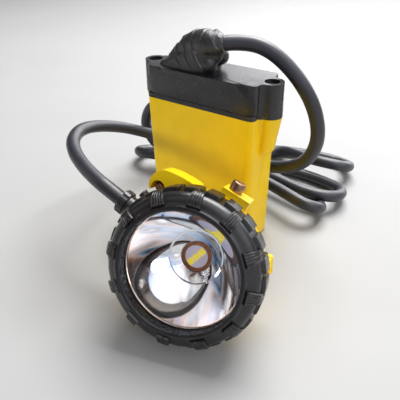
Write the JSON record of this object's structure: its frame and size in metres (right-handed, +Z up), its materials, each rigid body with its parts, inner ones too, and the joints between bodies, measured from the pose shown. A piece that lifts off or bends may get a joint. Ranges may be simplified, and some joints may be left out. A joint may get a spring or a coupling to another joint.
{
  "type": "miner's cap lamp",
  "caption": "Corded miner's cap lamp: yellow battery box with black lid, thick cable in a loose hank and a round headpiece with a tread bezel and chrome reflector.",
  "frame": {"origin": "centre of the battery box's base, on the surface that the lamp stands on", "axes": "+Z up along the battery box; -Y is the box's front, towards the headpiece; +X to the right seen from the front"},
  "size_m": [0.2017, 0.2542, 0.139],
  "materials": {
    "yellow_shell": "moulded, slight sheen",
    "black_shell": "satin, fine grain",
    "bezel_rubber": "moulded tread, semi-gloss",
    "hump_rubber": "satin",
    "wrap_film": "stretched tape, glossy creases",
    "seal_rubber": "soft seal",
    "cable_jacket": "smooth, dull",
    "lead_insulation": "smooth",
    "steel": "machined",
    "brass": "tarnished",
    "copper": "bare copper",
    "nickel": "plated strip",
    "aluminium": "turned",
    "reflector_chrome": "vacuum plated",
    "lens_clear": "clear",
    "led_ceramic": "white solder mask",
    "led_phosphor": "phosphor coating",
    "circuit_board": "solder mask",
    "chip_black": "moulded package",
    "cell_wrap": "shrink sleeve",
    "cradle_plastic": "moulded",
    "foam": "closed-cell foam"
  },
  "bodies": {
    "lamp": {"battery_case": "yellow_shell", "lid_gasket": "seal_rubber", "battery_lid": "black_shell", "lid_screws": "steel", "screw_inserts": "brass", "cells": "cell_wrap", "cell_cradles": "cradle_plastic", "nickel_strips": "nickel", "foam_pad": "foam", "protection_board": "circuit_board", "board_parts": "chip_black", "belt_loop": "black_shell", "belt_loop_rivets": "steel", "cable_hump": "hump_rubber", "boot_wrap": "wrap_film", "cable_tail": "cable_jacket", "cable_clamp": "black_shell", "clamp_screws": "steel", "battery_leads": "lead_insulation", "cable": "cable_jacket", "head_body": "yellow_shell", "reflector": "reflector_chrome", "led_board": "led_ceramic", "led_ring": "copper", "led_chips": "led_phosphor", "heat_sink": "aluminium", "driver_board": "circuit_board", "driver_parts": "chip_black", "switch_oring": "seal_rubber", "rotary_switch": "chip_black", "charge_stud": "brass", "stud_nut": "brass", "charge_pin": "brass", "pin_collar": "seal_rubber", "gland_neck": "black_shell", "gland_seal": "seal_rubber", "gland_nut": "black_shell", "cable_end": "cable_jacket", "lock_screw": "black_shell", "helmet_hook": "black_shell", "hook_screws": "steel", "head_leads": "lead_insulation"},
    "lens_carrier": {"lens": "lens_clear", "lens_seal": "seal_rubber"},
    "bezel": {"bezel_ring": "bezel_rubber"},
    "switch": {"switch_knob": "yellow_shell", "switch_shaft": "steel"}
  },
  "joints": [
    {"name": "lens_lift", "type": "slide", "parent": "lamp", "child": "lens_carrier", "axis": [0.2695, -0.8816, 0.3875], "range_m": [0, 0.00452]},
    {"name": "bezel_turn", "type": "hinge", "parent": "lens_carrier", "child": "bezel", "pos_m": [0.0482, -0.0969, 0.04492], "axis": [0.2695, -0.8816, 0.3875], "range_deg": [0, 1080]},
    {"name": "switch_turn", "type": "hinge", "parent": "lamp", "child": "switch", "pos_m": [0.07723, -0.05966, 0.03719], "axis": [0.9428, 0.3236, 0.0803], "range_deg": [0, 90]}
  ],
  "couplings": [
    {"joint": "lens_lift", "follows": "bezel_turn", "m_per_rad": 0.00023873}
  ]
}
